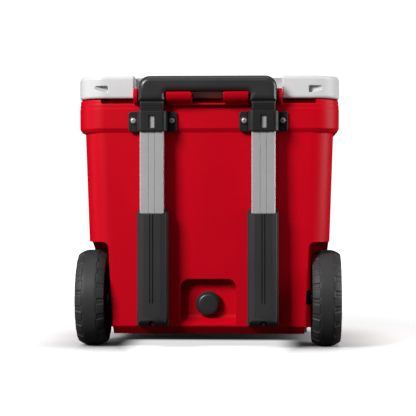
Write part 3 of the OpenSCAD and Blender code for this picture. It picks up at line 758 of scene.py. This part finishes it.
def build_grip():
    """The U-shaped grip: a crossbar with large outer corners, two legs and a neck under each leg."""
    half, top, bottom = grip_high[0], grip_high[2], grip_low[2]
    inside, under, hem = half - LEG_W, top - GRIP_BAR, bottom + 4.5
    stops = [((half, hem), 0), ((half, top), 21.5), ((-half, top), 21.5), ((-half, hem), 0),
             ((-inside, hem), 0), ((-inside, under), 6), ((inside, under), 6), ((inside, hem), 0)]
    outline = soften(stops, 9, closed=True)
    grip = slab("handle_grip_skin", outline, "y", grip_low[1], grip_high[1], edge=(11, 6), steps=7)
    for x in (-TUBE_X, TUBE_X):
        for k, inset in enumerate((0, 0.9, 0)):
            plan = round_rect(x - 22 + inset, x + 22 - inset, TUBE_Y - 11.2 + inset, grip_high[1] - 0.5, 3, 6)
            combine(grip, [slab("neck", plan, "z", bottom + 1.6 * k, hem + 6, edge=(0.5, 0))], "UNION")
    socket = tube_plan(INNER_W + 0.1, INNER_D + 0.1, 2)
    tools = [slab("socket", [(side * x, y) for x, y in socket], "z", bottom - 5, inner_high[2])
             for side in (-1, 1)]
    pocket_x = button_high[0] + 0.4
    pocket = round_rect(-pocket_x, pocket_x, TUBE_Y - 9.4, TUBE_Y + 9.4, 3.4, 6)
    tools.append(slab("pocket", pocket, "z", YOKE_Z - 0.5, top + 10))
    tools.append(box_tool(-TUBE_X - 6, TUBE_X + 6, TUBE_Y - 6, TUBE_Y + 6, top - 26.5, YOKE_Z + 5))
    combine(grip, tools)
    bevel(grip, 0.8, 40, 2)
    finish_piece(grip, "inner_stage", GRIP, "black_plastic", "handle_grip")


def build_button():
    """The release button, with fine ribs across its top."""
    low, high = button_low, button_high
    plan = round_rect(low[0], high[0], low[1], high[1], 3, 6)
    button = slab("release_button_skin", plan, "z", low[2], high[2] - 0.7, edge=(0.5, 1.8))
    ribs = []
    for k in range(7):
        x = -12 + 4 * k
        bar = round_rect(x - 0.9, x + 0.9, low[1] + 3, high[1] - 3, 0.85, 4)
        ribs.append(slab("rib", bar, "z", high[2] - 3, high[2], edge=(0, 0.6)))
    combine(button, ribs, "UNION")
    finish_piece(button, "button", SOFT_BLACK, "black_plastic", "release_button")


def build_brackets():
    """The two brackets: a plate with ears for the screws and a saddle that wraps the tube."""
    low, high = bracket_low, bracket_high
    plate_front = RIM_REAR - 5
    plate = slab("handle_bracket_skin", round_rect(low[0], high[0], low[2], high[2], 5, 8), "y",
                 plate_front, RIM_REAR, edge=(1.4, 0))
    half, front = SADDLE_X, low[1]
    plan = soften([((TUBE_X - half, RIM_REAR), 0), ((TUBE_X - half, front), 10),
                   ((TUBE_X + half, front), 10), ((TUBE_X + half, RIM_REAR), 0)], 8)
    saddle = slab("saddle", plan, "z", low[2], high[2], edge=(1.6, 1.6))
    combine(plate, [saddle], "UNION")
    # A narrow gutter parts the saddle from the plate, and each ear has a raised seat for its screw.
    tools = [slab("tube_way", tube_plan(TUBE_W + 0.6, TUBE_D + 0.6, 4.4), "z", low[2] - 5, high[2] + 5)]
    for side in (-1, 1):
        x = TUBE_X + side * (half + 1.6)
        tools.append(box_tool(x - 0.7, x + 0.7, plate_front - 5, plate_front + 1.3, low[2] - 5, high[2] + 5))
    tools.append(box_tool(TUBE_X - 5.85, TUBE_X + 5.85, front - 10, TUBE_Y, low[2] + 6, low[2] + 30,
                          1.5, "y"))
    combine(plate, tools)
    seat = [(2.7, 1), (7.4, 1), (7.4, -0.9), (6.6, -1.3), (5.4, -1.3), (5.3, -0.2), (2.7, -0.2)]
    combine(plate, [lathe("seat", seat, "y", (TUBE_X + side * SCREW_X, plate_front, SCREW_Z), 48)
                    for side in (-1, 1)], "UNION")
    combine(plate, [drill("y", (TUBE_X + side * SCREW_X, plate_front, SCREW_Z), 2.7, -6, 6)
                    for side in (-1, 1)])
    bevel(plate, 0.5, 45, 2)
    finish_pair(plate, "handle_bracket_{}", "cooler_body", BLACK, "black_plastic")


def build_sleeves():
    """The fixed sleeves that take the tubes: a flared channel with two fine lines and a curved foot."""
    bottom, top, front = sleeve_low[2], sleeve_high[2], sleeve_low[1]
    stops = [((wall_y(bottom), bottom), 0), ((front, bottom), 30), ((front, top - 8), 1.6),
             ((wall_y(top), top), 0)]
    side_view = soften(stops, 12)
    half, middle = (sleeve_high[0] - sleeve_low[0]) / 2 - 1, TUBE_X - 1
    sleeve = slab("handle_sleeve_skin", side_view, "x", middle - half, middle + half)
    corners = [(half, 0, 0), (half, front + 15, 8), (half - 3, front + 5, 4), (half - 13, front, 6)]
    plan = soften([((middle + x, y), r) for x, y, r in corners] +
                  [((middle - x, y), r) for x, y, r in corners[::-1]])
    combine(sleeve, [slab("plan", plan, "z", bottom - 20, top + 20)], "INTERSECT")
    # The foot narrows towards its end.
    for s in (-1, 1):
        heel = soften([((middle + s * (half + out), bottom + up), r) for out, up, r in
                       ((5, -9, 0), (-6, -9, 0), (0, 36, 20), (5, 36, 0))], 8, closed=True)
        combine(sleeve, [slab("heel", heel, "y", front - 5, front + 12)])
    tools = [slab("tube_way", tube_plan(TUBE_W + 0.8, TUBE_D + 0.8, 4.4), "z", tube_low[2] - 2, top + 20)]
    for x in (-2.6, 2.6):
        tools.append(box_tool(TUBE_X + x - 0.9, TUBE_X + x + 0.9, front - 5, front + 2, bottom + 42,
                              top + 20, 0.8, "y"))
    tools.append(lathe("screw_way", [(0, -60), (6, -60), (6, 0), (2.7, 0), (2.7, 30), (0, 30)], "y",
                       (TUBE_X, wall_y(bottom) - 6, bottom + 5), 40))
    combine(sleeve, tools)
    bevel(sleeve, 0.7, 40, 2)
    finish_pair(sleeve, "handle_sleeve_{}", "cooler_body", SLEEVE, "black_plastic")


# ---- Screws ----

def screw(centre, axis, head_r, head_h, shank_r, shank, facing):
    """A domed screw with a cross drive. facing is the sign of the side that the head looks to."""
    turns = [math.radians(a) for a in range(0, 91, 15)]
    dome = [(head_r * math.sin(a), facing * head_h * (0.35 + 0.65 * math.cos(a))) for a in turns]
    profile = dome + [(head_r, 0), (shank_r, 0), (shank_r, -facing * shank), (0, -facing * shank)]
    made = lathe("screw", profile, axis, centre, 32)
    x, y, z = centre
    low, high = span(facing, head_h * 0.3, head_h * 2)
    cuts = []
    for wide, tall in ((0.22, 0.95), (0.95, 0.22)):
        u, v = head_r * wide * 0.62, head_r * tall * 0.62
        if axis == "y":
            cuts.append(box_tool(x - u, x + u, y + low, y + high, z - v, z + v))
        else:
            cuts.append(box_tool(x - u, x + u, y - v, y + v, z + low, z + high))
    return combine(made, cuts)


def build_screws():
    """Every visible screw, one piece for each kind."""
    sides = (-1, 1)
    bracket = [(s * TUBE_X + d * SCREW_X, RIM_REAR - 5, SCREW_Z) for s in sides for d in sides]
    sleeve = [(s * TUBE_X, wall_y(sleeve_low[2]) - 6, sleeve_low[2] + 5) for s in sides]
    foot = [(s * FOOT_X, FOOT_Y, 5) for s in sides]
    keeper = [(s * LATCH_X + d * 18, RIM_FRONT + 0.4, KEEPER_Z) for s in sides for d in sides]
    # Node, places, axis, head radius and height, shank radius and length, and the head's side.
    for node, places, *sizes in (
            ("bracket_screws", bracket, "y", 5, 2.6, 2.45, 23, -1),
            ("sleeve_screws", sleeve, "y", 5, 3, 2.45, 20, -1),
            ("foot_screws", foot, "z", 5, 3, 2.45, 22, -1),
            ("keeper_screws", keeper, "y", 1.9, 1.2, 1.4, 17, 1)):
        screws = [screw(place, *sizes) for place in places]
        finish_piece(joined(node + "_skin", screws), "cooler_body", STEEL, "steel", node, angle=30)


# ---- Drain ----

def build_drain():
    """The drain plug, with a dished face and a stem, and the seal behind its flange."""
    low, high = plug_low[1], SEAT_Y - 2.5
    r = plug_high[0]
    face = [(0, low), (r - 10, low + 0.35), (r - 7, low + 0.9), (r - 5.6, low + 1.6), (r - 1.6, high - 7.2),
            (r - 0.5, high - 6.0), (r, high - 4.8), (r, high - 0.8), (r - 0.8, high), (9.5, high),
            (9.5, SEAT_Y + 18), (8.6, SEAT_Y + 19), (0, SEAT_Y + 19)]
    face = [(radius, min(d, plug_high[1])) for radius, d in face]
    plug = lathe("drain_plug_skin", face, "y", (0, 0, DRAIN_Z), 96)
    finish_piece(plug, "drain_plug", GRIP, "black_plastic", "drain_plug", angle=28)

    section = ((9.6, 0.3), (9.6, 2.2), (10.2, 2.5), (15, 2.5), (16, 1.6), (16, 0.6), (15.3, 0), (10.2, 0))
    seal = lathe("drain_seal_skin", [(r, SEAT_Y - d) for r, d in section], "y", (0, 0, DRAIN_Z), 64)
    finish_piece(seal, "drain_seal", SEAL, "seal_rubber", "drain_seal")


# ---- Wheels ----

def wheel_lathe(name, profile, steps=96):
    """Turns a profile of (radius, X position) round the right-hand wheel's axle."""
    return lathe(name, profile, "x", (0, WHEEL_Y, WHEEL_R), steps)


def ramp(value, low, high):
    """0 up to low and 1 from high on, with a smooth rise between."""
    t = max(0, min(1, (value - low) / (high - low)))
    return t * t * (3 - 2 * t)


def tread_radius(across, phase):
    """The tyre's radius across its width, -1 to 1, at a phase of 0 to 1 within one block of the shoulder."""
    edge = abs(across)
    crown = WHEEL_R - 7.5 * (max(0, edge - 0.33) / 0.67) ** 1.7
    on_block = ramp(phase, 0.0, 0.05) * (1 - ramp(phase, 0.60, 0.65))
    side_lines = sum(ramp(phase, p - 0.07, p) * (1 - ramp(phase, p, p + 0.07)) for p in (0.72, 0.93))
    shoulder = ramp(edge, 0.50, 0.56)
    inner_line = on_block * ramp(edge, 0.43, 0.46) * (1 - ramp(edge, 0.49, 0.52))
    return crown - 1.3 * shoulder * (1 - on_block) - 0.9 * inner_line - 0.5 * shoulder * side_lines


# Where the tread has points, along one block's pitch and across half the tyre: the ends of the ramps
# in tread_radius, and some between them.
PHASES = (0.0, 0.025, 0.05, 0.2, 0.33, 0.46, 0.60, 0.625, 0.65, 0.685, 0.72, 0.755, 0.79, 0.86, 0.895,
          0.93, 0.965)
ACROSS = (0.0, 0.12, 0.24, 0.34, 0.41, 0.43, 0.46, 0.49, 0.52, 0.56, 0.63, 0.70, 0.78, 0.86, 0.92, 0.97, 1.0)


def build_tyre():
    """The tyre: a plain crown, blocks on both shoulders set half a pitch apart, and plain sidewalls."""
    low, high = tyre_low[0], tyre_high[0]
    middle, half = (low + high) / 2, (high - low) / 2
    columns = [-a for a in ACROSS[:0:-1]] + list(ACROSS)
    rings = []
    for lug in range(LUGS):
        for phase in PHASES:
            tread = [(tread_radius(a, phase), middle + half * a, 0.25 * max(-1, min(1, a / 0.3)))
                     for a in columns]
            for end in (1, -1):
                # The sidewall: shoulder, a bead line and the edge that holds the rim.
                rows = ((80, 1.0), (76, 0.985), (74.6, 0.955), (72.5, 0.955), (71.5, 0.985), (66, 0.985),
                        (62.3, 0.93), (62, 0.80))
                wall = [(r, middle + end * half * a, end * 0.25) for r, a in rows]
                tread = tread + wall if end == 1 else wall[::-1] + tread
            ring = []
            for r, x, shift in tread:
                a = 2 * math.pi * (lug + phase + shift) / LUGS
                ring.append((x, WHEEL_Y + r * math.cos(a), WHEEL_R + r * math.sin(a)))
            rings.append(ring)
    tyre = loft("tyre_skin", rings, closed=True, capped=False)
    finish_pair(tyre, "tyre_{}", "wheel_{}", TYRE, "tyre_rubber", angle=24)


def build_hub():
    """The wheel's centre: a rim, a dished disc with six windows, ribs behind it and a bore."""
    low, high = hub_low[0], hub_high[0]
    disc = tyre_high[0] - 22
    hub = wheel_lathe("wheel_hub_skin", [
        (62, low + 1), (61, low), (58, low), (57, low + 1), (57, disc - 2), (34, disc - 3.2), (20, disc - 2),
        (14, disc - 2), (14, BUSH_IN + 0.6), (13.4, BUSH_IN), (9.1, BUSH_IN), (9.1, BUSH_OUT),
        (13.4, BUSH_OUT), (14, BUSH_OUT - 0.6), (14, disc + 2), (20, disc + 2), (34, disc + 0.8),
        (50, disc + 2), (57, disc + 3), (57, high - 1.6), (58.6, high), (61, high), (62, high - 1)])
    windows = []
    for k in range(SPOKES):
        a = 2 * math.pi * (k + 0.5) / SPOKES
        stops = [((WHEEL_Y + r * math.cos(a + spread), WHEEL_R + r * math.sin(a + spread)), 4)
                 for r, spread in ((37, -0.20), (53, -0.26), (53, 0.26), (37, 0.20))]
        windows.append(slab("window", soften(stops, closed=True), "x", disc - 12, disc + 12))
    combine(hub, windows)
    ribs = []
    for k in range(SPOKES):
        rib = slab("rib", [(-2, low + 4), (2, low + 4), (2, disc), (-2, disc)], "y", 13, 57.5)
        turn = Matrix.Rotation(2 * math.pi * k / SPOKES, 4, "X")
        stand = Matrix.Translation((0, WHEEL_Y * MM, WHEEL_R * MM))
        lay = Matrix(((0, 0, 1, 0), (0, 1, 0, 0), (-1, 0, 0, 0), (0, 0, 0, 1)))
        rib.data.transform(stand @ turn @ lay)
        ribs.append(rib)
    combine(hub, ribs, "UNION")
    bevel(hub, 0.8, 40, 2)
    finish_pair(hub, "wheel_hub_{}", "wheel_{}", HUB, "wheel_plastic")

    cap_in, cap_out = cap_low[0], cap_high[0]
    face = ((27, 4), (0, 4), (0, 0), (12, 0.2), (20, 0.8), (21, 1.6), (22, 1.6), (23, 1.0), (26.5, 1.9),
            (28.8, 3.4), (30, 6))
    cap = wheel_lathe("hub_cap_skin", [(27, cap_in)] + [(r, cap_out - d) for r, d in face] +
                      [(30, cap_in + 0.6), (29.4, cap_in)])
    finish_pair(cap, "hub_cap_{}", "wheel_{}", GRIP, "wheel_plastic", angle=28)

    boss_in, boss_out, r = boss_low[0], boss_high[0], 15.5
    boss = wheel_lathe("axle_boss_skin", [
        (6.5, boss_in - 4), (13, boss_in - 4), (13, boss_in + 4.2), (14.2, boss_in + 4.2),
        (r - 0.4, boss_in + 4.8), (r, boss_in + 6), (r, boss_out - 4.5), (r - 1.4, boss_out - 1.4),
        (r - 4, boss_out), (6.5, boss_out)], 64)
    finish_pair(boss, "axle_boss_{}", "cooler_body", BLACK, "black_plastic")


# ---- Latches, feet and the seal ----

def build_latches():
    """A rubber latch: barrel, arm, a strap that necks in, and a ribbed pull tab."""
    low, high = latch_low, latch_high
    pin_y, pin_z, front = RIM_FRONT - 4, LID_BOTTOM + 14, RIM_FRONT
    stops = [((pin_y - 5, pin_z + 4.9), 4.5), ((front + 7.4, pin_z + 4.9), 4), ((front + 7.6, 425), 12),
             ((front + 9, 411), 1.6), ((front + 5, 410), 1.6), ((front + 2.3, 423), 8),
             ((front + 2.3, pin_z - 4.8), 3), ((pin_y - 5, pin_z - 4.8), 4.5)]
    latch = slab("latch_skin", soften(stops, 6, closed=True), "x", low[0], high[0], edge=(1.4, 1.4))
    tools = [drill("x", (LATCH_X, pin_y, pin_z), 2.6, -40, 40)]
    for s in (-1, 1):
        neck = soften([((LATCH_X + s * x, z), r) for x, z, r in
                       ((30, 459, 0), (17, 452, 6), (17, 432, 6), (30, 424, 0))], 6)
        tools.append(slab("neck", neck, "y", front - 1, front + 30))
    for k in range(4):
        z = 428 - 4 * k
        tools.append(box_tool(LATCH_X - 15, LATCH_X + 15, front + 7, front + 12, z - 0.8, z + 0.8, 0.7, "y"))
    combine(latch, tools)
    bevel(latch, 0.6, 40, 2)
    finish_pair(latch, "latch_{}", "latch_{}", SOFT_BLACK, "latch_rubber")

    keeper = slab("latch_keeper_skin", round_rect(LATCH_X - 25, LATCH_X + 25, 424, 444, 3, 6), "y",
                  front - 4, front + 1.8, edge=(0, 0.8))
    combine(keeper, [drill("y", (LATCH_X + s * 18, front, KEEPER_Z), 2.2, -20, 20, 24) for s in (-1, 1)])
    finish_pair(keeper, "latch_keeper_{}", "cooler_body", BLACK, "black_plastic")


def build_feet():
    """The front feet, with a ringed sole and a screw hole."""
    r, top = (foot_high[0] - foot_low[0]) / 2, foot_high[2]
    foot = lathe("front_foot_skin", [
        (2.7, top), (2.7, 5), (6, 5), (6, 0.6), (6.6, 0), (10, 0), (10.6, 0.9), (12.4, 0.9), (13, 0),
        (16, 0), (16.6, 0.9), (18.4, 0.9), (19, 0), (r - 1.4, 0), (r, 1.4), (r, top - 1), (r - 1, top)],
        "z", (FOOT_X, FOOT_Y, 0), 64)
    finish_pair(foot, "front_foot_{}", "cooler_body", SOFT_BLACK, "latch_rubber")


def build_gasket():
    """The lid's seal: a soft lip with a rounded underside, run round the cavity's mouth."""
    low, high = gasket_low, gasket_high
    section = ((0, high[2]), (0, low[2] + 1.6), (1.0, low[2] + 0.4), (2.6, low[2]), (4.4, low[2]),
               (6.0, low[2] + 0.4), (7, low[2] + 1.6), (7, high[2]))
    rings = [[(x, y, z) for x, y in round_rect(low[0] + d, high[0] - d, low[1] + d, high[1] - d, 52 - d)]
             for d, z in section]
    gasket = loft("lid_gasket_skin", rings, closed=True)
    finish_piece(gasket, "lid", SEAL, "seal_rubber", "lid_gasket")


def build_spring():
    """The button's return spring: a coil, built at its length at rest."""
    low, high = box_mm("button_spring")
    turns, steps, wire = 5, 20, 0.55
    r = (high[0] - low[0]) / 2 - wire
    rings = []
    for k in range(turns * steps + 1):
        a = 2 * math.pi * k / steps
        z = low[2] + wire + (high[2] - low[2] - 2 * wire) * k / (turns * steps)
        ring = []
        for j in range(8):
            b = 2 * math.pi * j / 8
            out = r + wire * math.cos(b)
            ring.append((out * math.cos(a), TUBE_Y + out * math.sin(a), z + wire * math.sin(b)))
        rings.append(ring)
    spring = loft("button_spring_skin", rings)
    finish_piece(spring, "inner_stage", STEEL, "steel", "button_spring")
    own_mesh(spring)


for build in (build_body, build_lid, build_tubes, build_grip, build_button, build_brackets, build_sleeves,
              build_screws, build_drain, build_tyre, build_hub, build_latches, build_feet, build_gasket,
              build_spring):
    build()

for material, nodes in (
        (STEEL, ("hinge_rod", "latch_pins", "axle_left", "axle_right", "axle_washers", "axle_clips",
                 "push_rod_left", "push_rod_right", "lock_pin_left", "lock_pin_right")),
        (BLACK, ("drain_collar", "button_yoke", "lock_block_left", "lock_block_right")),
        (NYLON, ("wheel_bush_left", "wheel_bush_right")),
        (FOAM, ("body_foam", "lid_foam"))):
    for node in nodes:
        dress_node(node, material)


# ---- Camera, light and floor ----

# The world's strength as a light, and the share of it left in reflections.
AMBIENT = 0.062
REFLECTED = 0.2
# The floor's glow: painted light, seen only by the camera, laid over the lamp light on the floor.
FLOOR_GLOW = 0.74


def point_at(obj, place, aim):
    obj.location = place
    obj.rotation_euler = (Vector(aim) - Vector(place)).to_track_quat("-Z", "Y").to_euler()
    bpy.context.scene.collection.objects.link(obj)


def stage_floor():
    """A white floor. Only the camera sees its glow, which is painted light; it fades where something stands
    close to it, and that fade paints the contact shadows.
    """
    bpy.ops.mesh.primitive_plane_add(size=40, location=(0, 0, 0))
    floor = bpy.context.object
    floor.name = "floor"
    material, tree, shader = new_material("floor_white")
    link = tree.links.new
    shader.inputs["Roughness"].default_value = 0.9
    shader.inputs["Specular IOR Level"].default_value = 0.0
    shader.inputs["Emission Color"].default_value = (1, 1, 1, 1)
    seen = new_node(tree, "ShaderNodeLightPath").outputs["Is Camera Ray"]
    tint = new_node(tree, "ShaderNodeValToRGB")
    tint.color_ramp.elements[0].color = (0.05, 0.05, 0.05, 1)
    tint.color_ramp.elements[1].color = (0.34, 0.34, 0.34, 1)
    link(seen, tint.inputs["Fac"])
    link(tint.outputs["Color"], shader.inputs["Base Color"])

    place = new_node(tree, "ShaderNodeTexCoord").outputs["Object"]
    split = new_node(tree, "ShaderNodeSeparateXYZ")
    link(place, split.inputs["Vector"])
    length = new_node(tree, "ShaderNodeVectorMath", operation="LENGTH")
    link(place, length.inputs[0])
    # The ambient-occlusion fade is painted shade: the floor's glow darkens under the body and round the
    # wheels.
    near = new_node(tree, "ShaderNodeAmbientOcclusion", Distance=0.16)
    open_sky = maths(tree, "POWER", near.outputs["AO"], 1.6)
    # Between the wheels the glow reaches in under the rear edge of the body, painting light where the lamps
    # leave shade.
    across = maths(tree, "ABSOLUTE", split.outputs["X"])
    behind = maths(tree, "SUBTRACT", 1, map_range(tree, split.outputs["Y"], (-0.045, 0), how="SMOOTHSTEP"))
    between = maths(tree, "SUBTRACT", 1, map_range(tree, across, (0.12, 0.18), how="SMOOTHSTEP"))
    lit = maths(tree, "MAXIMUM", open_sky, maths(tree, "MULTIPLY", behind, between))
    # The glow grows with distance, so that no horizon shows.
    away = map_range(tree, length.outputs["Value"], (0.45, 1.6), how="SMOOTHSTEP")
    level = maths(tree, "ADD", maths(tree, "MULTIPLY", lit, FLOOR_GLOW), maths(tree, "MULTIPLY", away, 0.6))
    link(maths(tree, "MULTIPLY", level, seen), shader.inputs["Emission Strength"])
    floor.data.materials.append(material)


def camera():
    """A long lens behind the cooler, a little to its right."""
    distance, azimuth, height = 2.558, math.radians(2.5), 0.2574
    aim = Vector((0, RIM_REAR * MM, height))
    data = bpy.data.cameras.new("camera")
    data.lens = 121
    data.sensor_width = 36
    cam = bpy.data.objects.new("camera", data)
    point_at(cam, aim + Vector((math.sin(azimuth), -math.cos(azimuth), 0)) * distance, aim)
    bpy.context.scene.camera = cam


def world():
    """White to the camera, a dim grey to what it lights, and nearly dark in reflections."""
    w = bpy.data.worlds.new("studio")
    w.use_nodes = True
    tree = w.node_tree
    back = tree.nodes["Background"]
    back.inputs["Color"].default_value = (1, 1, 1, 1)
    rays = new_node(tree, "ShaderNodeLightPath")
    level = map_range(tree, rays.outputs["Is Camera Ray"], (0, 1), (AMBIENT, 1.2))
    dim = map_range(tree, rays.outputs["Is Glossy Ray"], (0, 1), (1, REFLECTED))
    tree.links.new(maths(tree, "MULTIPLY", level, dim), back.inputs["Strength"])
    bpy.context.scene.world = w


def lamp(name, azimuth, elevation, distance, width, height, strength):
    """A soft panel aimed at the cooler. azimuth is 0 behind the camera and positive to its right.

    strength is the light that reaches the cooler, in watts per square metre."""
    data = bpy.data.lights.new(name, "AREA")
    data.shape = "RECTANGLE"
    data.size = width
    data.size_y = height
    data.energy = strength * math.pi * distance ** 2
    a, e = math.radians(azimuth), math.radians(elevation)
    aim = Vector((0, RIM_REAR * MM, 0.25))
    place = aim + Vector((math.sin(a) * math.cos(e), -math.cos(a) * math.cos(e), math.sin(e))) * distance
    point_at(bpy.data.objects.new(name, data), place, aim)


stage_floor()
camera()
world()
lamp("key", -42, 30, 3.6, 1.16, 1.16, 5.1)
lamp("right_side", 84, 14, 2.0, 1.1, 1.4, 3.4)
lamp("left_side", -86, 10, 2.0, 0.4, 1.4, 0.4)
lamp("top", 0, 86, 2.0, 1.4, 1.0, 0.8)
lamp("front_strip", -6, 40, 2.2, 1.6, 0.16, 0.22)
bpy.context.scene.view_settings.view_transform = "Standard"
